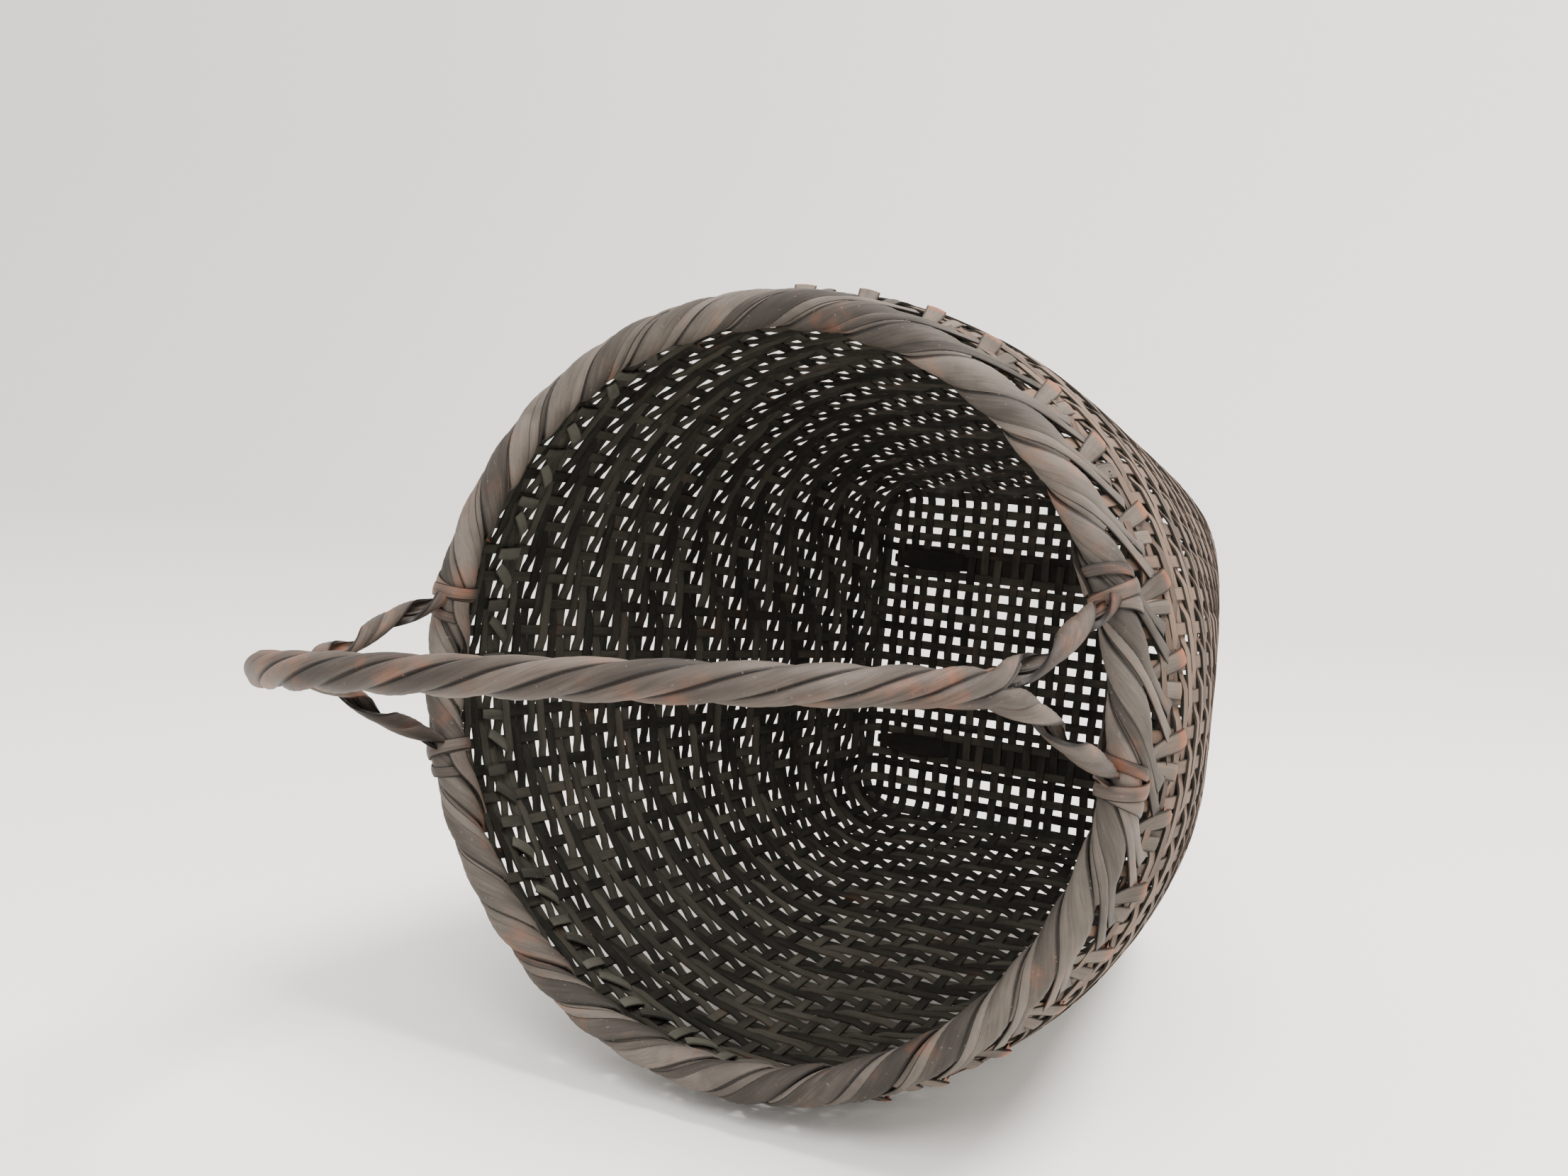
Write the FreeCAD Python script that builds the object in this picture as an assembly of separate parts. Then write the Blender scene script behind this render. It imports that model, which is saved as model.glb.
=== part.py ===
import FreeCAD, Part
import math
import os

# A deep splint basket with a square base, a round mouth and a bail handle that stands up.
# Origin: middle of the underside, on the surface it stands on. +Z up, base sides along X and Y.

# ---- Driving dimensions (mm, degrees) ----
base_side = 212.0            # outer side of the square base
base_corner = 20.0           # corner radius of the wall where it leaves the base
body_height = 373.0          # centre line of the rim above the surface
rim_radius = 175.0           # centre line of the rim
wall_outset = 2.2            # the wall's head stands this much outside the rim's centre line
swell = 2.0                  # how early the wall leans out: 1 is a straight cone
rounding = 2.1               # how early the square turns round: 1 is even from base to rim
shoulder = 12.0              # extra swell of the wall below the rim
shoulder_rise = 0.833        # where it is greatest, as a share of the way from base to rim

strips_per_side = 20         # base strips that turn up as stakes on each side
strip_width = 5.4
strip_thickness = 1.0
face_gap = 0.15              # play between layers that lie on each other

runner_width = 14.0          # flat bars under the base
runner_thickness = 1.8
runner_strips = 6            # strips between the middle of the base and each bar

courses = 52                 # weavers round the wall
courses_per_band = 4         # the twill repeats every four courses
course_width = 6.1
course_thickness = 1.0
first_course = 9.5           # middle of the lowest weaver above the surface

rim_core_radius = 6.0
wrap_count = 36              # bundles bound round the rim
wrap_thickness = 2.3
wrap_run = 24.0              # how far round the rim one bundle travels
wrap_low_angle = -55.0       # lowest reach on the outside of the rim's section
wrap_high_angle = 235.0      # lowest reach on the inside

tail_width = 8.0             # ends of the bundles, sewn down outside the wall
tail_thickness = 0.8
tail_drop = 24.0
below_rim_gap = 1.8          # between the handle's loops and the tails outside the wall
tab_width = 5.5              # short ends tucked in inside the wall, one on each stake
tab_length = 17.0
tab_below_rim = 35.0

handle_turn = 6.0            # the handle's plane, turned from the X axis
handle_offset = 7.7          # its plane stands this far to the front of the middle
handle_lean = 2.8            # its top leans towards -Y
handle_height = 214.0        # top of the handle's centre line above the rim's
handle_squareness = 2.7      # 2 is a half ellipse, more is squarer
fork_height = 113.0          # where each end parts into two legs, above the rim's centre line
foot_spread = 13.0           # each leg's foot, round the rim from the handle's plane
strand_size = 7.0            # each of the four strands
strand_gap = 0.2
loop_thickness = 2.4
loop_width = 12.0
loop_half_opening = 40.0     # the loop leaves the wall free under the rim

# ---- What follows from them ----
wall_foot = runner_thickness
wall_top_radius = rim_radius + wall_outset
wrap_radius = rim_core_radius + face_gap + wrap_thickness
wall_head = body_height + wrap_radius * math.sin(math.radians(wrap_low_angle)) - face_gap
loop_inner_radius = wrap_radius + 2 * face_gap
loop_outer_radius = loop_inner_radius + loop_thickness
tail_top = body_height - loop_outer_radius - below_rim_gap
last_course = tail_top - 1.0 - course_width / 2
sides = ("right", "back", "left", "front")


def vec(x, y, z):
    return FreeCAD.Vector(x, y, z)


def cylindrical(radius, angle, z):
    """A point given by its distance from the Z axis, its bearing in degrees and its height."""
    bearing = math.radians(angle)
    return vec(radius * math.cos(bearing), radius * math.sin(bearing), z)


def save(name, solids):
    """Write one node; a node of repeated pieces is a group of separate solids."""
    shape = solids[0] if len(solids) == 1 else Part.makeCompound(solids)
    shape.exportStep("parts/" + name + ".step")
    volume = sum(solid.Volume for solid in solids)
    print(name, len(solids), round(volume, 1), all(solid.isValid() for solid in solids))


def loft(sections):
    """A solid through closed polygons, with straight edges from each to the next."""
    wires = [Part.makePolygon(points + [points[0]]) for points in sections]
    return Part.makeLoft(wires, True, True)


# ---- The wall's surface ----
def wall_size(z):
    """Half side and corner radius of the wall's outline at one height."""
    rise = min(max((z - wall_foot) / (body_height - wall_foot), 0.0), 1.0)
    half = base_side / 2 + (wall_top_radius - base_side / 2) * (1 - (1 - rise) ** swell)
    late = shoulder_rise / (1 - shoulder_rise)
    half += shoulder * (rise / shoulder_rise) ** late * (1 - rise) / (1 - shoulder_rise)
    start = base_corner / (base_side / 2)
    roundness = start + (1 - start) * (1 - (1 - rise) ** rounding)
    return half, half * min(roundness, 0.99)


def wall_point(place, z, offset):
    """A point of the outline and its outward direction.

    place counts sides from the middle of the +X side: 0, 1, 2 and 3 are the four middles.
    """
    half, corner = wall_size(z)
    side = math.floor(place + 0.5)
    along = place - side
    flat = half - corner
    reach = abs(along) * 2 * (flat + corner * math.pi / 4)
    if reach <= flat:
        x, y, turn = half + offset, reach, 0.0
    else:
        turn = (reach - flat) / corner
        x = flat + (corner + offset) * math.cos(turn)
        y = flat + (corner + offset) * math.sin(turn)
    sign = 1 if along >= 0 else -1
    bearing = math.degrees(math.atan2(sign * y, x)) + 90 * side
    point = cylindrical(math.hypot(x, y), bearing, z)
    normal = cylindrical(1.0, math.degrees(sign * turn) + 90 * side, 0.0)
    return point, normal


def outline(z, offset):
    """The closed outline of the wall at one height: four lines and four arcs."""
    half, corner = wall_size(z)
    flat = half - corner
    radius = corner + offset
    edges = []
    for quarter in range(4):
        start = cylindrical(math.hypot(half + offset, flat),
                            90 * quarter - math.degrees(math.atan2(flat, half + offset)), z)
        end = cylindrical(math.hypot(half + offset, flat),
                          90 * quarter + math.degrees(math.atan2(flat, half + offset)), z)
        after = cylindrical(math.hypot(half + offset, flat),
                            90 * quarter + 90 - math.degrees(math.atan2(flat, half + offset)), z)
        centre = cylindrical(flat * math.sqrt(2), 90 * quarter + 45, z)
        middle = centre + cylindrical(radius, 90 * quarter + 45, 0.0)
        edges.append(Part.LineSegment(start, end).toShape())
        edges.append(Part.Arc(end, middle, after).toShape())
    return Part.Wire(edges)


def wall_section(place, z, width, inner, outer):
    """A flat strip's cross-section where it crosses the wall's outline."""
    low, normal = wall_point(place, z, inner)
    high, normal = wall_point(place, z, outer)
    along = vec(-normal.y, normal.x, 0.0) * (width / 2)
    return [low - along, high - along, high + along, low + along]


# ---- Base ----
def strip_place(index):
    """Where a strip stands on its side: -0.5 to 0.5 from corner to corner."""
    return (index + 0.5) / strips_per_side - 0.5


def base_strips(direction, level):
    """Flat strips across the base, from stake to stake."""
    solids = []
    for index in range(strips_per_side):
        foot, normal = wall_point(strip_place(index), wall_foot, -strip_thickness - face_gap)
        strip = Part.makeBox(2 * foot.x, strip_width, strip_thickness,
                             vec(-foot.x, foot.y - strip_width / 2, level))
        if direction == "y":
            strip.rotate(vec(0, 0, 0), vec(0, 0, 1), 90)
        solids.append(strip)
    return solids


def base_runner(side):
    """A flat bar under the base, along X."""
    length = base_side - 2 * strip_thickness
    middle, normal = wall_point(side * runner_strips / strips_per_side, wall_foot, 0.0)
    return Part.makeBox(length, runner_width, runner_thickness,
                        vec(-length / 2, middle.y - runner_width / 2, 0.0))


# ---- Wall ----
def stakes(side):
    """The strips that stand up from one side of the base to the rim."""
    steps = 18
    solids = []
    for index in range(strips_per_side):
        place = side + strip_place(index)
        sections = []
        for step in range(steps + 1):
            z = wall_foot + (wall_head - wall_foot) * (step / steps) ** 1.15
            sections.append(wall_section(place, z, strip_width, -strip_thickness, 0.0))
        solids.append(loft(sections))
    return solids


def weaver(index):
    """One hoop of the wall, laid round the outside of the stakes."""
    middle = first_course + (last_course - first_course) * index / (courses - 1)
    low = middle - course_width / 2
    high = middle + course_width / 2
    skin = face_gap + course_thickness
    outside = Part.makeLoft([outline(low, skin), outline(high, skin)], True, True)
    inside = Part.makeLoft([outline(low, face_gap), outline(high, face_gap)], True, True)
    return outside.cut(inside).Solids[0]


# ---- Rim ----
def rim_point(radius, section_angle, bearing):
    """A point on a tube round the rim's centre line; section angle 0 is outwards, 90 is up."""
    turn = math.radians(section_angle)
    return cylindrical(rim_radius + radius * math.cos(turn), bearing,
                       body_height + radius * math.sin(turn))


def rim_wrap(index):
    """One bundle of splints, bound over the rim at a slant."""
    steps = 8
    corners = 5
    spacing = 360.0 / wrap_count
    fall = (wrap_high_angle - wrap_low_angle) / wrap_run
    half_span = 0.46 * fall * spacing
    sections = []
    for step in range(steps + 1):
        share = 0.1 + 0.8 * step / steps
        bearing = index * spacing - wrap_run * (share - 0.5)
        middle = wrap_high_angle - fall * wrap_run * share
        low = max(middle - half_span, wrap_low_angle)
        high = min(middle + half_span, wrap_high_angle)
        turns = [low + (high - low) * corner / (corners - 1) for corner in range(corners)]
        inner = [rim_point(rim_core_radius + face_gap, turn, bearing) for turn in turns]
        outer = [rim_point(wrap_radius, turn, bearing) for turn in reversed(turns)]
        sections.append(inner + outer)
    return loft(sections)


def rim_tail(index, slant):
    """The end of a bundle, laid at a slant over the outermost weavers."""
    skin = 2 * face_gap + course_thickness
    layer = skin if slant > 0 else skin + tail_thickness + face_gap
    start = 4.0 * index / wrap_count
    lean = slant * 2.0 / wrap_count
    sections = []
    for share in (0.0, 0.5, 1.0):
        sections.append(wall_section(start + lean * (share - 0.5), tail_top - tail_drop * share,
                                     tail_width, layer, layer + tail_thickness))
    return loft(sections)


def rim_tab(index):
    """A short end tucked in on the inside of the wall."""
    inner = -strip_thickness - face_gap - tail_thickness
    outer = -strip_thickness - face_gap
    place = (index + 0.5) / strips_per_side
    top = body_height - tab_below_rim
    sections = [wall_section(place, z, tab_width, inner, outer) for z in (top - tab_length, top)]
    return loft(sections)


# ---- Handle ----
def handle_axes():
    """Along the handle's plane, across it, and up in it."""
    along = cylindrical(1.0, handle_turn, 0.0)
    across = cylindrical(1.0, handle_turn + 90, 0.0)
    lean = math.radians(handle_lean)
    upward = vec(0, 0, math.cos(lean)) - across * math.sin(lean)
    return along, across, upward


def handle_path():
    """Stations of the centre line: distance along the plane, height over the rim, direction."""
    half = rim_radius * math.cos(math.radians(foot_spread))
    foot = loop_outer_radius + face_gap
    power = handle_squareness
    leg = []
    for step in range(6):
        height = foot + (fork_height - foot) * step / 6
        leg.append((half * (1 - (height / handle_height) ** power) ** (1 / power), height))
    fork = math.asin((fork_height / handle_height) ** (power / 2))
    arch = []
    for step in range(29):
        turn = fork + (math.pi - 2 * fork) * step / 28
        reach = half * abs(math.cos(turn)) ** (2 / power)
        arch.append((math.copysign(reach, math.cos(turn)), handle_height * math.sin(turn) ** (2 / power)))
    return leg + arch + [(-distance, height) for distance, height in reversed(leg)]


def handle_strand(row, column):
    """One of four strands: row +1 is the outer one of a pair, column +1 is the back leg."""
    along, across, upward = handle_axes()
    path = handle_path()
    spread = rim_radius * math.sin(math.radians(foot_spread))
    offset = (strand_size + strand_gap) / 2
    half = strand_size / 2
    sections = []
    for index, (distance, height) in enumerate(path):
        before = path[max(index - 1, 0)]
        after = path[min(index + 1, len(path) - 1)]
        travel = math.hypot(after[0] - before[0], after[1] - before[1])
        outward = along * ((after[1] - before[1]) / travel) - upward * ((after[0] - before[0]) / travel)
        parting = max(0.0, 1 - height / fork_height)
        centre = vec(0, 0, body_height) + along * distance + upward * height
        centre = centre + across * (column * (offset + (spread - offset) * parting) - handle_offset)
        centre = centre + outward * (row * offset)
        corners = ((-half, -half), (half, -half), (half, half), (-half, half))
        sections.append([centre + outward * a + across * b for a, b in corners])
    return loft(sections)


def handle_loop(end, column):
    """The turn of splint that holds one leg to the rim, open below for the wall."""
    reach = end * rim_radius * math.cos(math.radians(foot_spread))
    side = column * rim_radius * math.sin(math.radians(foot_spread)) - handle_offset
    bearing = handle_turn + math.degrees(math.atan2(side, reach))
    section = []
    start = loop_half_opening - 90
    tangent = cylindrical(loop_width / 2, bearing + 90, 0.0)
    for radius, edge in ((loop_inner_radius, -1), (loop_outer_radius, -1),
                         (loop_outer_radius, 1), (loop_inner_radius, 1)):
        section.append(rim_point(radius, start, bearing) + tangent * edge)
    face = Part.Face(Part.makePolygon(section + [section[0]]))
    axis = cylindrical(1.0, bearing - 90, 0.0)
    return face.revolve(cylindrical(rim_radius, bearing, body_height), axis, 360 - 2 * loop_half_opening)


def main():
    os.makedirs("parts", exist_ok=True)
    save("base_runner_front", [base_runner(-1)])
    save("base_runner_back", [base_runner(1)])
    save("base_strips_across", base_strips("x", runner_thickness))
    save("base_strips_along", base_strips("y", runner_thickness + strip_thickness))
    for number, side in enumerate(sides):
        save("stakes_" + side, stakes(number))
    for band in range(courses // courses_per_band):
        hoops = [weaver(band * courses_per_band + k) for k in range(courses_per_band)]
        save("wall_courses_%02d" % (band + 1), hoops)
    core = Part.makeTorus(rim_radius, rim_core_radius, vec(0, 0, body_height))
    save("rim_core", [core])
    per_quarter = wrap_count // 4
    for number, side in enumerate(sides):
        first = number * per_quarter - per_quarter // 2
        save("rim_wraps_" + side, [rim_wrap(first + k) for k in range(per_quarter)])
    save("rim_tails_falling", [rim_tail(k, 1) for k in range(wrap_count)])
    save("rim_tails_rising", [rim_tail(k, -1) for k in range(wrap_count)])
    save("rim_tabs_inside", [rim_tab(k) for k in range(4 * strips_per_side)])
    save("handle_strand_front_inner", [handle_strand(-1, -1)])
    save("handle_strand_front_outer", [handle_strand(1, -1)])
    save("handle_strand_back_inner", [handle_strand(-1, 1)])
    save("handle_strand_back_outer", [handle_strand(1, 1)])
    for name, end, column in (("right_back", 1, 1), ("right_front", 1, -1),
                              ("left_front", -1, -1), ("left_back", -1, 1)):
        save("handle_loop_" + name, [handle_loop(end, column)])


main()
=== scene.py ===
import math

import bmesh
import bpy
import numpy as np
from mathutils import Matrix, Vector


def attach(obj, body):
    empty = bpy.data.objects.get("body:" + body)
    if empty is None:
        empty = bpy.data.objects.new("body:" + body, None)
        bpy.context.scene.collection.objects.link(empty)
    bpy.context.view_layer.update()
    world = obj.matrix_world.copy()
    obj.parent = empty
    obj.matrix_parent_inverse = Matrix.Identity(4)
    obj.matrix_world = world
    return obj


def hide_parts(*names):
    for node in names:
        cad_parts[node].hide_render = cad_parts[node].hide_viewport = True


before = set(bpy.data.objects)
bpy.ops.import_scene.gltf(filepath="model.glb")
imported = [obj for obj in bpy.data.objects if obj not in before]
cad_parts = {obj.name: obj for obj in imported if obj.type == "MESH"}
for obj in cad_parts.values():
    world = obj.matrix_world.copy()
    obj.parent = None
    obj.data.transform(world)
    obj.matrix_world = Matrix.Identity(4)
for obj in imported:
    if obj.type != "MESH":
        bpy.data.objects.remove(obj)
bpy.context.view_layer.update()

# ---- Sizes, in metres. The first group repeats the part's own values. ----
mm = 0.001
base_half = 106 * mm
base_corner = 20 * mm
body_height = 373 * mm
rim_radius = 175 * mm
wall_top = 177.2 * mm
swell = 2.0
rounding = 2.1
shoulder = 12 * mm
shoulder_rise = 0.833
wall_foot = 1.8 * mm
wall_head = 366 * mm
per_side = 20
courses = 52
first_course = 9.5 * mm
last_course = 356 * mm
bundles = 36
runner_strips = 6
handle_turn = math.radians(6.0)
handle_offset = 7.7 * mm
handle_lean = math.radians(2.8)
handle_height = 214 * mm
handle_squareness = 2.7
fork_height = 113 * mm
foot_spread = math.radians(13.0)

stakes_round = 4 * per_side
splint = 0.9 * mm            # thickness of stakes and weavers
weaver_swing = 1.0 * mm      # how far a weaver's middle leaves the wall's surface
stake_swing = 0.3 * mm
weaver_width = 5.85 * mm
level_share = 0.22           # share of a stake's pitch, each way, where a weaver stays level
base_level = 2.8 * mm        # height of the strips' upper face in the base's middle layer
base_swing = 0.5 * mm        # how far a strip leaves it at a crossing
crossing_half = 2.3 * mm     # half the length that a strip stays over another
base_bend = 5.5 * mm         # how far inside the wall's foot a strip starts to turn up
runner_splint = 1.5 * mm
rim_splint = 1.1 * mm        # thickness of the splints round the rim and the legs
end_splint = 0.8 * mm        # and of the arms outside and the tabs inside
strand_splint = 1.6 * mm
rope_pitch = 112 * mm        # length of about one full turn of the handle's rope
leg_pitch = 62 * mm          # and of a leg
leg_core = 4.4               # radius a leg's strands are wound at, in mm
sharp_edge = math.radians(40.0)
wrap_start = math.radians(252.0)   # where a rim splint starts on the rim's section: inside, low
wrap_stop = math.radians(-18.0)    # and where it leaves the rim: outside, just below its widest
wrap_fall = 22.5 / 322.0           # radians round the rim for each radian of the section
floor_gap = 1.5 * mm
chance = np.random.default_rng(41)


def ease(x, low=0.0, high=1.0):
    """0 before low, 1 after high, and a soft turn between them."""
    t = np.clip((np.asarray(x, float) - low) / (high - low), 0, 1)
    return t * t * (3 - 2 * t)


def unit(v):
    """Vectors scaled to length 1, along the last axis."""
    return v / np.maximum(np.linalg.norm(v, axis=-1, keepdims=True), 1e-12)


# ---- The wall's surface ----
def wall_size(z):
    """Half the wall's side and its corner radius at a height: a rounded square that ends as a circle."""
    rise = np.clip((z - wall_foot) / (body_height - wall_foot), 0, 1)
    half = base_half + (wall_top - base_half) * (1 - (1 - rise) ** swell)
    late = shoulder_rise / (1 - shoulder_rise)
    half = half + shoulder * (rise / shoulder_rise) ** late * (1 - rise) / (1 - shoulder_rise)
    start = base_corner / base_half
    return half, half * np.minimum(start + (1 - start) * (1 - (1 - rise) ** rounding), 0.99)


def wall_point(place, z, offset):
    """Points of the wall. place counts sides from the middle of the +X side; offset is outwards."""
    place, z, offset = np.broadcast_arrays(np.asarray(place, float), np.asarray(z, float),
                                           np.asarray(offset, float))
    half, corner = wall_size(z)
    side = np.floor(place + 0.5)
    along = place - side
    flat = half - corner
    reach = np.abs(along) * 2 * (flat + corner * math.pi / 4)
    turn = np.clip((reach - flat) / corner, 0, None)
    x = flat + (corner + offset) * np.cos(turn)
    y = np.where(reach <= flat, reach, flat + (corner + offset) * np.sin(turn)) * np.sign(along + 1e-12)
    c, s = np.cos(side * math.pi / 2), np.sin(side * math.pi / 2)
    return np.stack([x * c - y * s, x * s + y * c, z], -1)


def round_the_wall(place, z):
    """The level direction along the wall, the way place grows."""
    return unit(wall_point(place + 0.002, z, 0.0) - wall_point(place - 0.002, z, 0.0))


def weaver_inside(course, stake):
    """Twill: a weaver runs inside two stakes and outside two, one stake further round each course."""
    return (course + stake) % 4 < 2


# ---- Flat strips ----
class Weaving:
    """Gathers strips in one mesh. Each strip is a grid, bent to the points it is given."""

    def __init__(self, thickness):
        self.shell = bmesh.new()
        self.lay = self.shell.loops.layers.uv.new("lay")
        self.thickness = thickness

    def strip(self, points, number, closed=False):
        """points is an array: stations along, columns across, xyz. Its outer face is along x across.
        number sets the strip apart from the others, so that it gets a tone of its own."""
        rows, columns = points.shape[:2]
        made = bmesh.ops.create_grid(self.shell, x_segments=rows - 1, y_segments=columns - 1, size=1.0)
        middle = points.mean(axis=1)
        length = np.concatenate([[0.0], np.cumsum(np.linalg.norm(np.diff(middle, axis=0), axis=1))])
        spread = np.linspace(0.03, 0.97, columns)
        place = {}
        for k, vert in enumerate(made["verts"]):
            row, column = k % rows, k // rows
            vert.co = points[row, column]
            place[vert] = (length[row], number + spread[column])
        faces = {face for vert in made["verts"] for face in vert.link_faces}
        for face in faces:
            for loop in face.loops:
                loop[self.lay].uv = place[loop.vert]
        if closed:
            ends = [v for k, v in enumerate(made["verts"]) if k % rows in (0, rows - 1)]
            bmesh.ops.remove_doubles(self.shell, verts=ends, dist=1e-6)

    def finish(self, name, finish, slot, nodes):
        shell = self.shell
        shell.normal_update()
        bmesh.ops.solidify(shell, geom=shell.faces[:], thickness=self.thickness)
        shell.normal_update()
        for face in shell.faces:
            face.smooth = True
        for edge in shell.edges:
            edge.smooth = edge.calc_face_angle(0.0) < sharp_edge
        mesh = bpy.data.meshes.new(name)
        shell.to_mesh(mesh)
        shell.free()
        return settle(name, mesh, finish, nodes)


def settle(name, mesh, finish, nodes):
    """A finished mesh becomes a piece of the basket."""
    piece = bpy.data.objects.new(name, mesh)
    bpy.context.scene.collection.objects.link(piece)
    mesh.materials.append(finish)
    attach(piece, "root")
    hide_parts(*nodes)
    return piece


# ---- Finishes ----
class Value:
    """A socket, or a number, that Python's signs work on."""

    def __init__(self, finish, socket):
        self.finish = finish
        self.socket = socket

    def join(self, operation, *others):
        return self.finish.node("ShaderNodeMath", {"operation": operation},
                                dict(enumerate((self,) + others)))

    def __add__(self, other):
        return self.join("ADD", other)

    def __sub__(self, other):
        return self.join("SUBTRACT", other)

    def __mul__(self, other):
        return self.join("MULTIPLY", other)

    def __rsub__(self, other):
        return self.finish.node("ShaderNodeMath", {"operation": "SUBTRACT"}, {0: other, 1: self})

    __radd__ = __add__
    __rmul__ = __mul__


class Finish:
    """A material under construction."""

    def __init__(self, name):
        self.material = bpy.data.materials.new(name)
        self.material.use_nodes = True
        self.tree = self.material.node_tree
        self.tree.nodes.clear()

    def node(self, kind, settings=None, inputs=None, out=0):
        made = self.tree.nodes.new(kind)
        for key, value in (settings or {}).items():
            setattr(made, key, value)
        for key, value in (inputs or {}).items():
            if isinstance(value, Value):
                self.tree.links.new(value.socket, made.inputs[key])
            else:
                made.inputs[key].default_value = value
        return Value(self, made.outputs[out]) if made.outputs else None

    def noise(self, where, scale, detail=3.0, rough=0.6):
        return self.node("ShaderNodeTexNoise", {}, {"Vector": where, "Scale": scale, "Detail": detail,
                                                    "Roughness": rough})

    def mix(self, share, first, second):
        """Colour mix: first where share is 0, second where it is 1."""
        return self.node("ShaderNodeMix", {"data_type": "RGBA"}, {0: share, 6: first, 7: second}, out=2)

    def band(self, value, low, high):
        """0 below low, 1 above high, soft between."""
        return self.node("ShaderNodeMapRange", {"interpolation_type": "SMOOTHSTEP"},
                         {0: value, 1: low, 2: high, 3: 0.0, 4: 1.0})

    def point(self, x, y, z=0.0):
        return self.node("ShaderNodeCombineXYZ", {}, {0: x, 1: y, 2: z})

    def surface(self, colour, roughness, height, depth):
        bump = self.node("ShaderNodeBump", {}, {"Strength": 1.0, "Distance": depth, "Height": height})
        body = self.node("ShaderNodeBsdfPrincipled", {}, {"Base Color": colour, "Roughness": roughness,
                                                          "Normal": bump, "Specular IOR Level": 0.15})
        self.node("ShaderNodeOutputMaterial", {}, {"Surface": body})
        return self.material


def rgb(r, g, b):
    """A linear colour from 0 to 255 screen values."""
    return tuple((c / 255 / 12.92 if c / 255 <= 0.04045 else ((c / 255 + 0.055) / 1.055) ** 2.4)
                 for c in (r, g, b)) + (1.0,)


def splint_finish(name, dark, mid, pale, worn, worn_share, outside=None, rough=0.62, edge_dirt_and_shade=0.0, tip=None):
    """Weathered split bamboo: fibres along the strip, a tone of its own for each strip, worn edges.
    grime darkens the strip's two edges with dirt and with painted shade of the grooves between strips; tip
    is where along the strip its worn end starts."""
    f = Finish(name)
    uv = f.node("ShaderNodeUVMap", {"uv_map": "lay"})
    along = f.node("ShaderNodeSeparateXYZ", {}, {0: uv}, out=0)
    number_across = f.node("ShaderNodeSeparateXYZ", {}, {0: uv}, out=1)
    number = number_across.join("FLOOR")
    across = number_across - number
    own = f.node("ShaderNodeTexWhiteNoise", {"noise_dimensions": "1D"}, {"W": number + 0.5})
    place = f.node("ShaderNodeTexCoord", {}, out=3)
    fibres = f.noise(f.point(along * 40.0, across * 9.0 + number * 3.7), 1.0, 4.0, 0.7)
    hairs = f.noise(f.point(along * 90.0, across * 34.0 + number * 5.1), 1.0, 3.0, 0.7)
    slow = f.noise(f.point(along * 16.0, number * 7.3 + across * 0.6), 1.0, 3.0, 0.55)
    stain = f.noise(place, 22.0, 4.0, 0.6)
    tone = own * 0.35 + slow * 0.7 + fibres * 0.35 - 0.2
    colour = f.mix(f.band(tone, 0.18, 0.62), dark, mid)
    colour = f.mix(f.band(tone + stain * 0.5, 0.62, 1.15), colour, pale)
    colour = f.mix(f.band(stain, 0.52, 0.72) * 0.55, colour, dark)
    # Inward faces keep the darker colours above as painted shade of the basket's inside, with some dirt.
    # Outward faces take the paler outside pair.
    if outside is not None:
        radial = f.node("ShaderNodeVectorMath", {"operation": "NORMALIZE"},
                        {0: f.node("ShaderNodeVectorMath", {"operation": "MULTIPLY"},
                                   {0: place, 1: (1.0, 1.0, 0.0)})})
        facing = f.node("ShaderNodeVectorMath", {"operation": "DOT_PRODUCT"},
                        {0: radial, 1: f.node("ShaderNodeNewGeometry", {}, out=1)}, out=1)
        unshaded_outside_colour = f.mix(f.band(tone, 0.15, 0.75), outside[0], outside[1])
        colour = f.mix(f.band(facing, -0.1, 0.5), colour, unshaded_outside_colour)
    edge = f.band((across - 0.5).join("ABSOLUTE") * 2.0, 0.7, 0.96)
    wear = f.band(f.noise(place, 38.0, 3.0, 0.65) * 0.75 + slow * 0.45, 0.74 - worn_share * 0.16, 0.84)
    colour = f.mix((wear * (edge * 0.7 + 0.3)) * worn_share, colour, worn)
    if tip is not None:
        colour = f.mix(f.band(along + (fibres - 0.5) * 0.006, tip, tip + 0.005) * 0.6, colour, worn)
    # Darker strip edges: painted shade of the grooves between strips, together with dirt.
    if edge_dirt_and_shade:
        dirt_and_shade_edge = f.band((across - 0.5).join("ABSOLUTE") * 2.0 + (fibres - 0.5) * 0.1, 0.7, 0.88)
        colour = f.mix(dirt_and_shade_edge * edge_dirt_and_shade, colour, tuple(c * 0.3 for c in dark[:3]) + (1.0,))
    specks = f.band(f.noise(place, 520.0, 1.0, 0.5), 0.7, 0.78)
    colour = f.mix(specks * 0.45, colour, pale)
    seams = f.band(hairs, 0.3, 0.5)
    colour = f.mix((1 - seams) * 0.4, colour, dark)
    roughness = rough + (fibres - 0.5) * 0.25
    height = fibres * 0.55 + hairs * 0.45 + slow * 0.6
    return f.surface(colour, roughness, height, 0.0004)


# The first three colours, used on the wall's inward faces, are painted shade of the basket's inside, with
# some dirt.
wall_finish = splint_finish("weathered_wall_splint", rgb(24, 23, 20), rgb(48, 46, 41), rgb(78, 75, 66),
                            rgb(104, 62, 38), 0.5, (rgb(54, 44, 38), rgb(106, 86, 73)), edge_dirt_and_shade=0.5)
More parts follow.
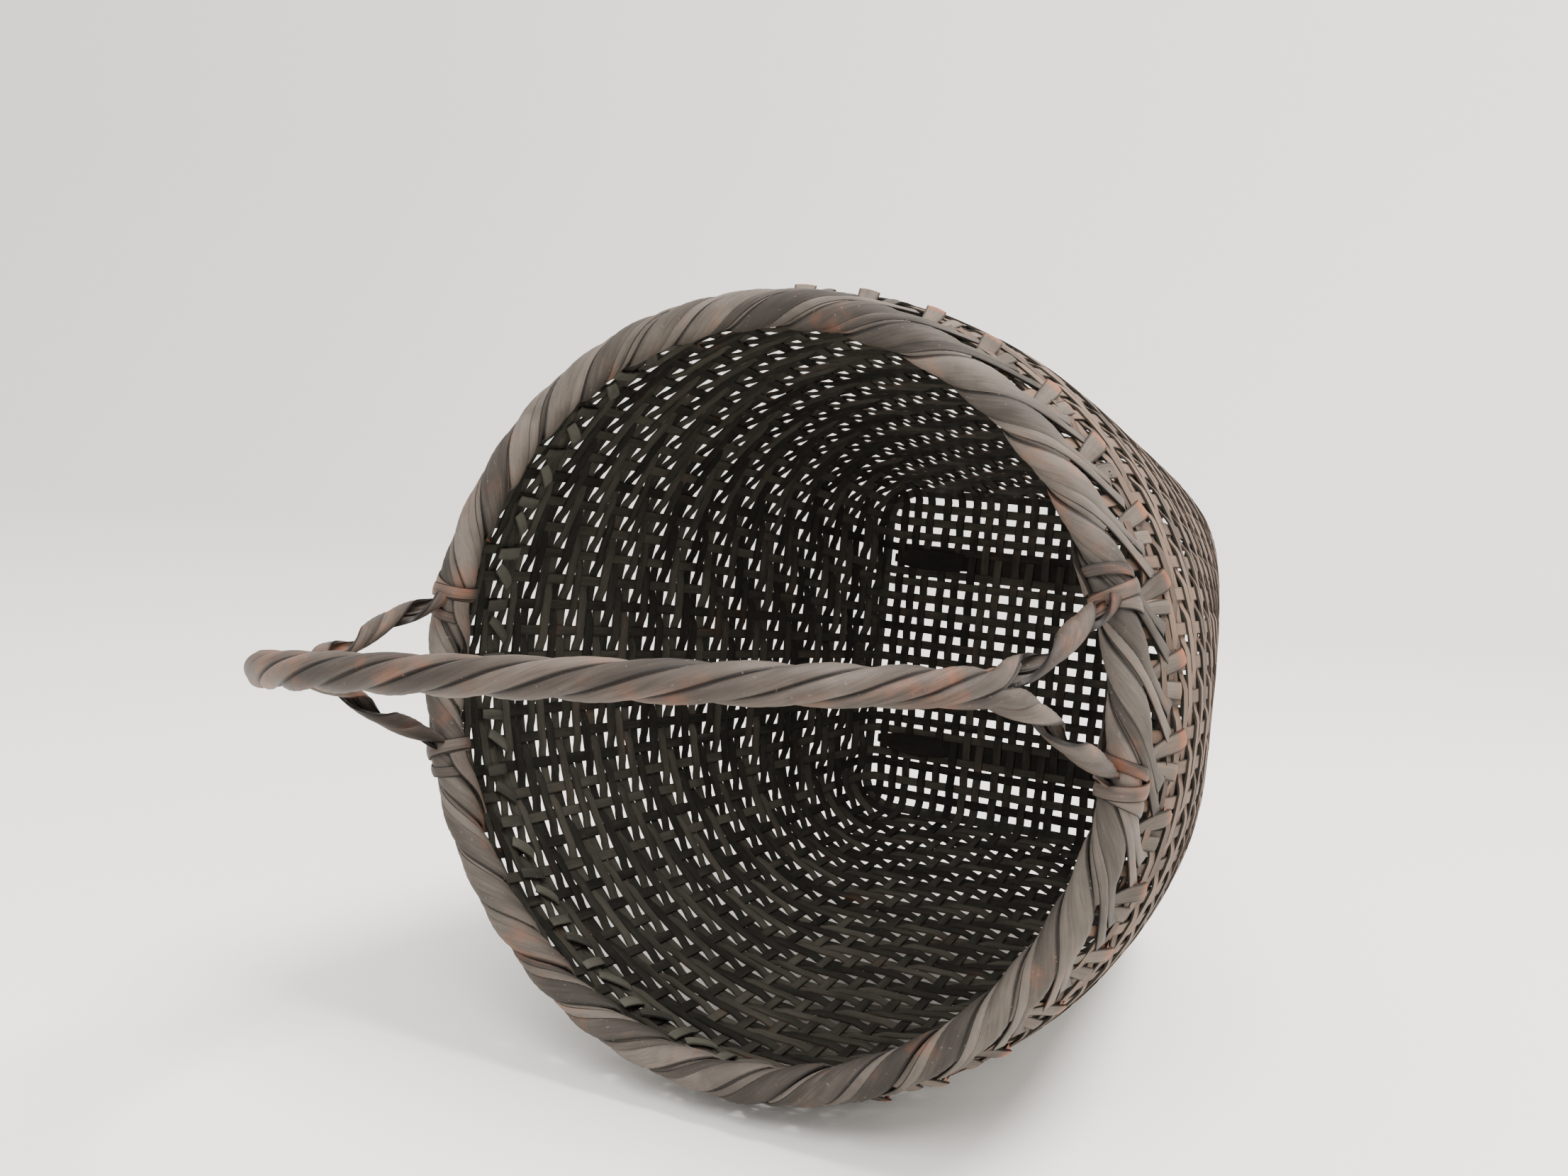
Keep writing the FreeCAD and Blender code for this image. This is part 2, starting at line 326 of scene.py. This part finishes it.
# The base's and runners' colours are darker than the wall's: painted shade deep inside the basket.
base_finish = splint_finish("shade_darkened_base_splint", rgb(18, 16, 14), rgb(30, 27, 24), rgb(46, 42, 37),
                            rgb(54, 38, 28), 0.3, (rgb(40, 34, 30), rgb(66, 57, 50)))
rim_finish = splint_finish("weathered_rim_splint", rgb(44, 40, 37), rgb(78, 72, 66), rgb(106, 98, 91),
                           rgb(150, 82, 44), 0.75, edge_dirt_and_shade=0.92)
arm_finish = splint_finish("folded_rim_splint", rgb(46, 40, 36), rgb(82, 74, 67), rgb(108, 98, 88),
                           rgb(144, 84, 54), 0.6, edge_dirt_and_shade=0.85, tip=0.022)
tab_finish = splint_finish("grey_tab_splint", rgb(52, 51, 46), rgb(80, 78, 70), rgb(106, 103, 93),
                           rgb(106, 74, 54), 0.2, edge_dirt_and_shade=0.4)
handle_finish = splint_finish("worn_handle_splint", rgb(42, 37, 34), rgb(76, 68, 62),
                              rgb(102, 92, 84), rgb(156, 84, 43), 1.0, rough=0.5, edge_dirt_and_shade=0.95)


# ---- Base strips that stand up as stakes ----
index = np.arange(per_side)
strip_place = (index + 0.5) / per_side - 0.5
base_pitch = wall_point(strip_place[11], wall_foot, 0.0)[1] - wall_point(strip_place[10], wall_foot, 0.0)[1]


def strip_shifts(spread_runner):
    """How far each strip lies from its even place on the base."""
    shift = chance.uniform(-0.55, 0.55, per_side) * mm
    if spread_runner:
        for side in (-1, 1):
            beside = per_side / 2 + side * runner_strips - 0.5
            shift[int(beside - 0.5)] -= 2.7 * mm
            shift[int(beside + 0.5)] += 2.7 * mm
    return shift


shift_across = strip_shifts(True)
shift_along = strip_shifts(False) + np.where(index % 5 == 2, 1.3, 0.0) * mm


def base_crossing(first, second):
    """+1 where a strip along X passes over a strip along Y, seen from inside."""
    return 1.0 if (first + second) % 2 else -1.0


def standing_strip(k, direction):
    """One long splint along x or y: down one wall, across the base, up the other wall."""
    shift = shift_across[k] if direction == "x" else shift_along[k]
    crossing_shift = shift_along if direction == "x" else shift_across
    p = strip_place[k]
    ends = ((p, k), (2 - p, 59 - k)) if direction == "x" else ((1 - p, 39 - k), (3 + p, 60 + k))
    sign = 1 if direction == "x" else -1
    course_z = first_course + (last_course - first_course) * np.arange(courses) / (courses - 1)
    phase = chance.uniform(0, 6.28, 2)[0]
    low_width, high_width = chance.uniform(5.2, 5.7) * mm, chance.uniform(5.3, 5.8) * mm

    def wall_run(place, stake, turn):
        """The part that stands in one wall, from the foot up: its middle line, side and width."""
        z = np.concatenate([course_z, [wall_head]])
        level = np.array([stake_swing if weaver_inside(c, stake) else -stake_swing for c in range(courses)])
        level = np.append(level, 0.0) + splint / 2
        grow = shift * turn / (2 * base_half) * (1 - ease(z, 0.0, 0.09))
        wander = 0.0009 * np.sin(z * 31 + phase) * ease(z, 0.02, 0.12)
        at = place + grow + wander
        middle = wall_point(at, z, level)
        side = round_the_wall(at, z)
        width = low_width + (high_width - low_width) * ease(z, 0.0, 0.22)
        return middle, side, width

    near, near_side, near_width = wall_run(ends[0][0], ends[0][1], 1 if direction == "x" else -1)
    far, far_side, far_width = wall_run(ends[1][0], ends[1][1], -1 if direction == "x" else 1)
    far_side = -far_side
    foot = wall_point(p, wall_foot, 0.0)
    reach = foot[0] - base_bend
    lateral = foot[1] + shift
    flat_x, flat_z = [], []
    for other in range(per_side - 1, -1, -1):
        centre = wall_point(strip_place[other], wall_foot, 0.0)[1] + crossing_shift[other]
        over = base_crossing(k, other) if direction == "x" else -base_crossing(other, k)
        if abs(centre) + 2.6 * mm < reach:
            for step in (1, -1):
                flat_x.append(centre + step * crossing_half)
                flat_z.append(base_level + over * base_swing)
    flat_x = np.array([reach] + flat_x + [-reach])
    flat_z = np.array([base_level] + flat_z + [base_level])
    across_axis = np.array([0.0, 1.0, 0.0]) if direction == "x" else np.array([-1.0, 0.0, 0.0])

    def place_flat(distance, side_distance, z):
        if direction == "x":
            return np.stack([distance, side_distance, z], -1)
        return np.stack([side_distance, distance, z], -1)

    flat = place_flat(flat_x, np.full(len(flat_x), lateral), flat_z - splint / 2)

    def corner_run(wall_bottom, wall_side, start):
        """The bend from the base at start to the foot of the wall."""
        turns = np.radians([22.0, 45.0, 68.0])
        top = wall_bottom
        points, sides = [], []
        for t in turns:
            share = math.sin(t)
            point = start * (1 - share) + top * share
            point[2] = start[2] + (top[2] - start[2]) * (1 - math.cos(t))
            points.append(point)
            sides.append(across_axis * (1 - share) + wall_side * share)
        return np.array(points), unit(np.array(sides))

    up_near, up_near_side = corner_run(near[0], near_side[0], flat[0])
    up_far, up_far_side = corner_run(far[0], far_side[0], flat[-1])
    middle = np.concatenate([near[::-1], up_near[::-1], flat, up_far, far])
    side = np.concatenate([near_side[::-1], up_near_side[::-1], np.tile(across_axis, (len(flat), 1)),
                           up_far_side, far_side])
    low = np.full(3, low_width)
    width = np.concatenate([near_width[::-1], low, np.full(len(flat), low_width), low, far_width])
    return np.stack([middle - side * width[:, None] / 2, middle + side * width[:, None] / 2], 1)


def build_standing_strips():
    for direction, name, nodes in (("x", "strips_across", ("base_strips_across", "stakes_right",
                                                           "stakes_left")),
                                   ("y", "strips_along", ("base_strips_along", "stakes_back",
                                                          "stakes_front"))):
        work = Weaving(splint)
        for k in range(per_side):
            work.strip(standing_strip(k, direction), number=k + (0 if direction == "x" else 40))
        work.finish(name, wall_finish, "wall_splint", nodes)


def weaver(course):
    """One hoop of the twill."""
    steps = np.array([-level_share, level_share, 0.4, 0.6])
    stake = np.repeat(np.arange(stakes_round), 4)
    step = np.tile(steps, stakes_round)
    place = (stake + 0.5 + step) / per_side - 0.5
    swing = weaver_swing * (1 + chance.uniform(-0.12, 0.12, stakes_round))
    side = np.array([-1.0 if weaver_inside(course, s) else 1.0 for s in range(stakes_round)])
    here = (side * swing)[stake]
    there = np.roll(side * swing, -1)[stake]
    level = here + (there - here) * ease(step, level_share, 1 - level_share)
    z = first_course + (last_course - first_course) * course / (courses - 1)
    turn = place / 4 * 2 * math.pi
    phase = chance.uniform(0, 6.28, 3)
    wander = 0.22 * mm * (np.sin(2 * turn + phase[0]) + np.sin(5 * turn + phase[1]))
    width = weaver_width * chance.uniform(0.95, 1.03) * (0.74 if course > courses - 3 else 1.0)
    width = width * (1 + 0.06 * np.sin(7 * turn + phase[2]))
    tilt = 0.12 * mm * np.sin(9 * turn + phase[1])
    low = wall_point(place, z + wander - width / 2, level + splint / 2 - tilt)
    high = wall_point(place, z + wander + width / 2, level + splint / 2 + tilt)
    points = np.stack([low, high], 1)
    return np.concatenate([points, points[:1]])


def build_wall():
    for band in range(courses // 4):
        work = Weaving(splint)
        for k in range(4):
            course = band * 4 + k
            work.strip(weaver(course), number=100 + course, closed=True)
        if band == 0:
            # One more hoop, low down, closes the gap between the first weaver and the base.
            turn = np.linspace(-0.5, 3.5, 161)
            foot = [wall_point(turn, np.full(len(turn), z), (0.7 - inward) * mm)
                    for z, inward in ((2.0 * mm, 3.4), (3.8 * mm, 1.2), (6.0 * mm, 0.1))]
            work.strip(np.stack(foot, 1), number=99, closed=True)
        work.finish("twill_band_%02d" % (band + 1), wall_finish, "wall_splint",
                    ("wall_courses_%02d" % (band + 1),))


# Distance along X, height of the upper face and width, in mm, from the +X end: a tip under the outermost
# strip, four strips passed over, and the rest passed under.
runner_route = [(101, 1.0, 5), (97, 1.1, 6), (94.5, 2.4, 7.5), (92, 4.2, 9), (88, 4.9, 10.5), (84, 5.0, 12),
                (76, 5.0, 13), (66, 5.0, 13), (58, 5.0, 12.5), (53.5, 4.4, 11), (51, 2.6, 10.6),
                (48.5, 1.0, 11), (44, 0.9, 13.5), (20, 0.9, 13.5), (-30, 0.9, 13.5), (-80, 0.9, 13.5),
                (-101, 0.9, 13)]


def build_runners():
    """Flat bars, threaded over the first strips at the +X end and under the rest."""
    for side, name in ((-1, "front"), (1, "back")):
        y = side * runner_strips * base_pitch
        work = Weaving(runner_splint)
        x, z, w = np.array(runner_route).T * mm
        drift = np.linspace(0, 1.2, len(x)) * mm * side
        middle = np.stack([x, y + drift, z - 0.75 * mm], -1)
        across = np.array([0.0, 1.0, 0.0])
        columns = [middle + across * w[:, None] * c + np.array([0, 0, 0.25 * mm]) * (1 - 4 * c * c)
                   for c in (-0.5, -0.2, 0.2, 0.5)]
        work.strip(np.stack(columns, 1), number=90 + side)
        work.finish("runner_" + name, base_finish, "base_splint", ("base_runner_" + name,))


# ---- Rim ----
def rim_point(radius, section, bearing):
    """A point on a tube round the rim: section 0 is outwards and a quarter turn is up."""
    radius, section, bearing = np.broadcast_arrays(radius, section, bearing)
    out = rim_radius + radius * np.cos(section)
    return np.stack([out * np.cos(bearing), out * np.sin(bearing),
                     body_height + radius * np.sin(section)], -1)


def wrap_path(bearing, offset, width, radius, crown, stop=wrap_stop, leaf=None):
    """One splint bound over the rim at a slant, from inside low to outside. leaf is where its end goes
    through the wall: how far round the rim from the crest, its height and its width there."""
    columns = np.linspace(-0.5, 0.5, 7)
    t = np.linspace(0, 1, 21)
    section = wrap_start + (stop - wrap_start) * t
    along = bearing + wrap_fall * (section - math.pi / 2)
    slope = math.atan2(radius, rim_radius * wrap_fall)
    wide = width * (0.55 + 0.45 * ease(t, 0.0, 0.22))
    reach = offset + columns[None, :] * wide[:, None]
    lift = radius + crown * (1 - 4 * columns ** 2)[None, :] - 0.2 * mm * columns[None, :]
    lift = lift - 1.6 * mm * (1 - ease(t, 0.0, 0.16))[:, None]
    tube = rim_point(lift, section[:, None] + reach * math.cos(slope) / radius,
                     along[:, None] - reach * math.sin(slope) / rim_radius)
    if leaf is None:
        return tube[:, ::-1]
    travel, height, end_width = leaf
    end_bearing = bearing + travel - columns * end_width * 0.75 / rim_radius
    end_height = height + columns * end_width * 0.6
    end = wall_point(end_bearing / (math.pi / 2), end_height, 2.0 * mm)
    tucked = wall_point((end_bearing - 0.012) / (math.pi / 2), end_height - 4.5 * mm, -0.3 * mm)
    pull = tube[-1] + (tube[-1] - tube[-2]) * 2.4
    arch = 0.7 * mm * (1 - 4 * columns ** 2)[:, None] * np.stack([np.cos(end_bearing), np.sin(end_bearing),
                                                                   0 * end_bearing], -1)
    rows = [(1 - s) ** 2 * tube[-1] + 2 * s * (1 - s) * pull + s * s * end + arch * math.sin(math.pi * s)
            for s in np.linspace(0, 1, 8)[1:]]
    rows += [end * 0.5 + tucked * 0.5, tucked]
    return np.concatenate([tube, np.array(rows)])[:, ::-1]


def build_rim():
    """Each bundle is one broad splint and two narrow ones that show beside it."""
    pitch = 2 * math.pi / bundles
    groups = {"right": 0, "back": 1, "left": 2, "front": 3}
    per_quarter = bundles // 4
    for name, quarter in groups.items():
        bound = Weaving(rim_splint)
        for k in range(per_quarter):
            number = quarter * per_quarter + k - per_quarter // 2
            bearing = (number + chance.uniform(-0.06, 0.06)) * pitch
            lower = chance.uniform(-1.0, 1.0) * mm
            bound.strip(wrap_path(bearing, 0.0, chance.uniform(11.4, 12.8) * mm,
                                  chance.uniform(7.7, 8.1) * mm, chance.uniform(1.2, 1.8) * mm,
                                  leaf=(-1.375 * pitch, 353 * mm + lower, chance.uniform(6.5, 8.0) * mm)),
                        number=200 + 3 * number)
            bound.strip(wrap_path(bearing, chance.uniform(6.4, 7.0) * mm, 5.0 * mm, 7.7 * mm, 0.7 * mm,
                                  leaf=(-1.755 * pitch, 352 * mm + lower, chance.uniform(5.5, 7.0) * mm)),
                        number=201 + 3 * number)
            bound.strip(wrap_path(bearing, chance.uniform(8.6, 9.2) * mm, 4.6 * mm, 7.1 * mm, 0.5 * mm,
                                  stop=math.radians(-40.0)), number=202 + 3 * number)
        bound.finish("rim_bundles_" + name, rim_finish, "rim_splint", ("rim_wraps_" + name,))


def outside_arm(bearing, lean, top_width, low_width, layer, drop, curl):
    """A splint from under the binding down over the outermost weavers, its end folded and tucked in.
    lean is how far round it goes, layer how far outside the wall and curl how far its lower part bows."""
    t = np.linspace(0, 1, 13)
    columns = np.linspace(-0.5, 0.5, 5)
    width = top_width + (low_width - top_width) * ease(t, 0.0, 0.7)
    at = bearing + lean * t
    start = rim_point(7.2 * mm, math.radians(-42.0), at)
    end = wall_point(at / (math.pi / 2), body_height - drop, layer)
    share = ease(t * 0.9 + 0.1, 0.0, 1.0)[:, None]
    middle = start * (1 - share) + end * share
    tuck = ease(t, 0.84, 1.0)[:, None]
    radial = unit(np.stack([np.cos(at), np.sin(at), 0 * at], -1))
    middle = middle + radial * (curl * np.sin(math.pi * ease(t, 0.45, 1.0)))[:, None]
    middle = middle - radial * tuck * (layer + 0.6 * mm) + np.array([0, 0, 1.0]) * tuck * 1.5 * mm
    down = unit(np.gradient(middle, axis=0))
    side = unit(np.cross(radial, down))
    side = side * np.sign((side * np.stack([-np.sin(at), np.cos(at), 0 * at], -1)).sum(-1))[:, None]
    rows = [middle + side * width[:, None] * c + radial * (0.5 * mm) * (1 - 4 * c * c) for c in columns]
    return np.stack(rows, 1)


def build_outside_arms():
    pitch = 2 * math.pi / bundles
    rising = Weaving(end_splint)
    falling = Weaving(end_splint)
    for k in range(bundles):
        bearing = (k - 0.08 + chance.uniform(-0.04, 0.04)) * pitch
        drop = chance.uniform(29.0, 33.0) * mm
        rising.strip(outside_arm(bearing, pitch * chance.uniform(0.34, 0.42), 4.5 * mm,
                                 chance.uniform(8.4, 10.4) * mm, 3.6 * mm, drop, 1.4 * mm), number=400 + k)
        falling.strip(outside_arm(bearing - 0.012, -pitch * chance.uniform(0.02, 0.12), 4.2 * mm,
                                  chance.uniform(6.4, 8.2) * mm, 2.4 * mm, drop - 2 * mm, 0.6 * mm),
                      number=500 + k)
    rising.finish("outside_arms_rising", arm_finish, "rim_splint", ("rim_tails_rising",))
    falling.finish("outside_arms_falling", arm_finish, "rim_splint", ("rim_tails_falling",))


def build_tabs():
    """Ends of the binding, come through the wall and lying on its inside, every second one slanted."""
    work = Weaving(end_splint)
    for k in range(stakes_round):
        slant = math.radians(36 if k % 2 else 4) + chance.uniform(-0.12, 0.12)
        place = (k + chance.uniform(0.4, 0.6)) / per_side - 0.5
        t = np.linspace(0, 1, 8)
        length = chance.uniform(16, 19.5) * mm
        z = chance.uniform(330, 333) * mm - (k % 2) * 4 * mm - t * length * math.cos(slant)
        at = place + (t - 0.5) * length * math.sin(slant) / rim_radius / (math.pi / 2)
        level = (-2.8 - 1.5 * np.sin(math.pi * t) ** 0.6 + 0.8 * (t - 0.5)) * mm
        middle = wall_point(at, z, level)
        width = chance.uniform(5.6, 6.8) * mm * (0.86 + 0.14 * np.sin(math.pi * t))
        along = unit(np.gradient(middle, axis=0))
        out = unit(wall_point(at, z, 1.0) - wall_point(at, z, 0.0))
        side = unit(np.cross(along, out)) * width[:, None] / 2
        work.strip(np.stack([middle - side, middle + side], 1), number=600 + k)
    work.finish("inside_tabs", tab_finish, "rim_splint", ("rim_tabs_inside",))


# ---- Handle ----
def handle_axes():
    along = np.array([math.cos(handle_turn), math.sin(handle_turn), 0.0])
    across = np.array([-math.sin(handle_turn), math.cos(handle_turn), 0.0])
    upward = np.array([0, 0, math.cos(handle_lean)]) - across * math.sin(handle_lean)
    return along, across, upward


def handle_line():
    """The handle's middle line from the +X foot to the other: distance, height, at even spacing."""
    half = rim_radius * math.cos(foot_spread)
    turn = np.linspace(0.0, math.pi, 721)
    x = half * np.sign(np.cos(turn)) * np.abs(np.cos(turn)) ** (2 / handle_squareness)
    h = handle_height * np.abs(np.sin(turn)) ** (2 / handle_squareness)
    keep = h > 7 * mm
    x, h = x[keep], h[keep]
    length = np.concatenate([[0.0], np.cumsum(np.hypot(np.diff(x), np.diff(h)))])
    even = np.linspace(0, length[-1], 330)
    return even, np.interp(even, length, x), np.interp(even, length, h)


def build_handle():
    """Four strands, each a broad splint and a narrow one behind it; two strands go to each leg."""
    along, across, upward = handle_axes()
    s, x, h = handle_line()
    origin = np.array([0, 0, body_height])
    travel = unit(np.stack([np.gradient(x), np.gradient(h)], -1))
    tangent = along * travel[:, :1] + upward * travel[:, 1:]
    outward = unit(np.cross(across, tangent))
    outward = outward * np.sign((outward * (along * x[:, None] + upward * h[:, None])).sum(-1))[:, None]
    linear = np.clip(1 - h / fork_height, 0, 1)
    spread = rim_radius * math.sin(foot_spread)
    in_rope = ease(h, fork_height * 0.62, fork_height * 1.08)
    rope = s[h > fork_height]
    turns = round(4 * (rope[-1] - rope[0]) / rope_pitch) / 4
    rope_rate = 2 * math.pi * turns / (rope[-1] - rope[0])
    leg_rate = 2 * math.pi / leg_pitch
    rate = leg_rate + (rope_rate - leg_rate) * ease(h, fork_height * 0.9, fork_height * 1.0)
    angle = -np.concatenate([[0.0], np.cumsum((rate[1:] + rate[:-1]) / 2 * np.diff(s))])
    first = int(np.argmax(h > fork_height))
    last = len(h) - 1 - int(np.argmax(h[::-1] > fork_height))
    middle_line = (origin + along * x[:, None] + upward * h[:, None]) - across * handle_offset
    nodes = ("handle_strand_front_inner", "handle_strand_front_outer",
             "handle_strand_back_inner", "handle_strand_back_outer")
    columns = np.linspace(-0.5, 0.5, 7)
    for strand in range(4):
        psi = angle - angle[first] + math.radians(45 + 90 * strand)
        at_first = math.sin(psi[first])
        at_last = math.sin(psi[last])
        column = np.where(np.arange(len(s)) < len(s) // 2, np.sign(at_first), np.sign(at_last))
        centre = middle_line + across * (column * spread * linear)[:, None]
        tapered = 1 - 0.25 * (1 - ease(h, 6 * mm, 30 * mm))
        work = Weaving(strand_splint)
        for lag, wide, low, crown in ((0.0, 8.6, 5.4, 2.3), (math.radians(46), 3.4, 4.9, 0.5)):
            radius = (leg_core + (low - leg_core) * in_rope) * mm * tapered
            width = wide * (1 + 0.3 * (1 - in_rope)) * mm
            turn = psi[:, None] + lag + columns[None, :] * (width / radius)[:, None]
            swell_out = crown * mm * (1 - 4 * columns ** 2)[None, :] * (0.55 + 0.45 * in_rope)[:, None]
            lift = radius[:, None] + swell_out + 0.25 * mm * columns[None, :]
            points = centre[:, None] + lift[..., None] * (outward[:, None] * np.cos(turn)[..., None]
                                                          + across * np.sin(turn)[..., None])
            if lag:
                keep = in_rope > 0.55
                points = points[keep]
            work.strip(points[:, ::-1], number=700 + strand + (10 if lag else 0))
        work.finish("handle_splint_%d" % (strand + 1), handle_finish, "handle_splint", (nodes[strand],))


def build_loops():
    """Splints of each leg, taken round the rim, with one end left lying along its inside."""
    half = rim_radius * math.cos(foot_spread)
    spread = rim_radius * math.sin(foot_spread)
    columns = np.linspace(-0.5, 0.5, 5)
    for name, end, column in (("right_back", 1, 1), ("right_front", 1, -1),
                              ("left_front", -1, -1), ("left_back", -1, 1)):
        work = Weaving(rim_splint)
        centre = handle_turn + math.atan2(column * spread - handle_offset, end * half)
        for k, (shift, width, radius, slant) in enumerate(((-6.4, 7.2, 9.9, 5.5), (0.6, 6.6, 10.7, -3.0),
                                                           (6.8, 5.4, 9.8, 5.0))):
            section = np.radians(np.linspace(226, -62, 24))
            at = centre + (shift * mm + slant * mm * np.sin(section * 0.5)) / rim_radius
            lift = radius * mm + 0.5 * mm * (1 - 4 * columns ** 2)
            points = rim_point(lift[None, :], section[:, None],
                               at[:, None] + columns[None, :] * width * mm / rim_radius)
            work.strip(points, number=800 + k)
        t = np.linspace(0, 1, 13)
        at = centre + (2 + 34 * t) * mm / rim_radius
        section = np.radians(150 + 62 * ease(t, 0.0, 0.9))
        width = 8.6 * mm * (1 - 0.8 * ease(t, 0.3, 1.0))
        radius = (10.6 - 0.8 * t) * mm
        points = rim_point(radius[:, None] + 0.4 * mm * (1 - 4 * columns ** 2)[None, :],
                           section[:, None] - columns[None, :] * (width / radius)[:, None], at[:, None])
        work.strip(points, number=804)
        work.finish("leg_binding_" + name, handle_finish, "handle_splint", ("handle_loop_" + name,))


def dark_core():
    """The rim's core stays as it is in the part, in the wall's dark finish."""
    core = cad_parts["rim_core"]
    core.data.materials.clear()
    core.data.materials.append(wall_finish)


# ---- Camera, floor and light ----
def set_camera():
    """The rows are the camera's own right, down and ahead directions in the part's frame."""
    right = Vector((-0.87961, -0.09390, -0.46634))
    down = Vector((-0.10395, 0.99457, -0.00420))
    ahead = Vector((0.46420, 0.04478, -0.88460))
    camera = bpy.data.objects.new("camera", bpy.data.cameras.new("camera"))
    camera.data.sensor_width = 36.0
    camera.data.lens = 2400 / 2212 * 36.0
    camera.data.clip_start = 0.05
    turn = Matrix((right, -down, -ahead)).transposed()
    camera.matrix_world = Matrix.Translation((-0.36604, -0.08465, 1.04783)) @ turn.to_4x4()
    bpy.context.scene.collection.objects.link(camera)
    bpy.context.scene.camera = camera


floor_tilt = math.radians(5.4)
floor_up = Vector((0.0, -math.cos(floor_tilt), math.sin(floor_tilt)))


def build_floor():
    """A pale floor under the lying basket, swept up far behind it."""
    lowest = min(floor_up.dot(v.co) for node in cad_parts.values() for v in node.data.vertices)
    origin = np.array(floor_up) * (lowest - floor_gap)
    away = np.array(floor_up.cross(Vector((1, 0, 0))))
    if away[2] > 0:
        away = -away
    front, sweep_start, sweep_radius, top, width = -2.6, 1.5, 0.9, 3.4, 16.0
    bend = np.linspace(0, math.pi / 2, 33)[1:]
    wall = sweep_radius + np.append(np.linspace(0, 3.0, 8)[1:], top)
    distance = np.concatenate([np.linspace(front, sweep_start, 9), sweep_start + sweep_radius * np.sin(bend),
                               np.full(len(wall), sweep_start + sweep_radius)])
    height = np.concatenate([np.zeros(9), sweep_radius * (1 - np.cos(bend)), wall])
    rows = len(distance)
    shell = bmesh.new()
    made = bmesh.ops.create_grid(shell, x_segments=rows - 1, y_segments=1, size=1.0)
    for k, vert in enumerate(made["verts"]):
        row, column = k % rows, k // rows
        vert.co = (origin + away * distance[row] + np.array(floor_up) * height[row]
                   + np.array([1.0, 0, 0]) * (column - 0.5) * width)
    shell.normal_update()
    if shell.faces[:][0].normal.dot(floor_up) < 0:
        bmesh.ops.reverse_faces(shell, faces=shell.faces[:])
    for face in shell.faces:
        face.smooth = True
    mesh = bpy.data.meshes.new("floor")
    shell.to_mesh(mesh)
    shell.free()
    f = Finish("pale_floor")
    paint = f.node("ShaderNodeBsdfPrincipled", {}, {"Base Color": rgb(236, 234, 230), "Roughness": 0.8,
                                                    "Specular IOR Level": 0.15})
    clear = f.node("ShaderNodeBsdfTransparent")
    behind = f.node("ShaderNodeNewGeometry", {}, out=6)
    both = f.node("ShaderNodeMixShader", {}, {0: behind, 1: paint, 2: clear})
    f.node("ShaderNodeOutputMaterial", {}, {"Surface": both})
    mesh.materials.append(f.material)
    floor = bpy.data.objects.new("floor", mesh)
    bpy.context.scene.collection.objects.link(floor)


def add_area(name, place, target, size, power, colour):
    data = bpy.data.lights.new(name, "AREA")
    data.shape = "DISK"
    data.size = size
    data.energy = power
    data.color = colour
    lamp = bpy.data.objects.new(name, data)
    lamp.location = place
    lamp.rotation_euler = (Vector(target) - Vector(place)).to_track_quat("-Z", "Y").to_euler()
    bpy.context.scene.collection.objects.link(lamp)


def set_light():
    """A bright even room and two soft lamps."""
    world = bpy.data.worlds.new("room")
    world.use_nodes = True
    back = world.node_tree.nodes["Background"]
    back.inputs["Color"].default_value = (0.98, 0.98, 0.97, 1.0)
    back.inputs["Strength"].default_value = 1.7
    bpy.context.scene.world = world
    add_area("key", (-1.0, -2.2, 0.3), (0, 0, 0.2), 0.9, 120.0, (1.0, 0.97, 0.93))
    add_area("front_fill", (-0.5, -1.5, 1.9), (0, 0.1, 0.2), 1.2, 48.0, (1.0, 0.97, 0.94))


set_camera()
build_standing_strips()
build_wall()
build_runners()
build_rim()
build_outside_arms()
build_tabs()
build_handle()
build_loops()
dark_core()
build_floor()
set_light()
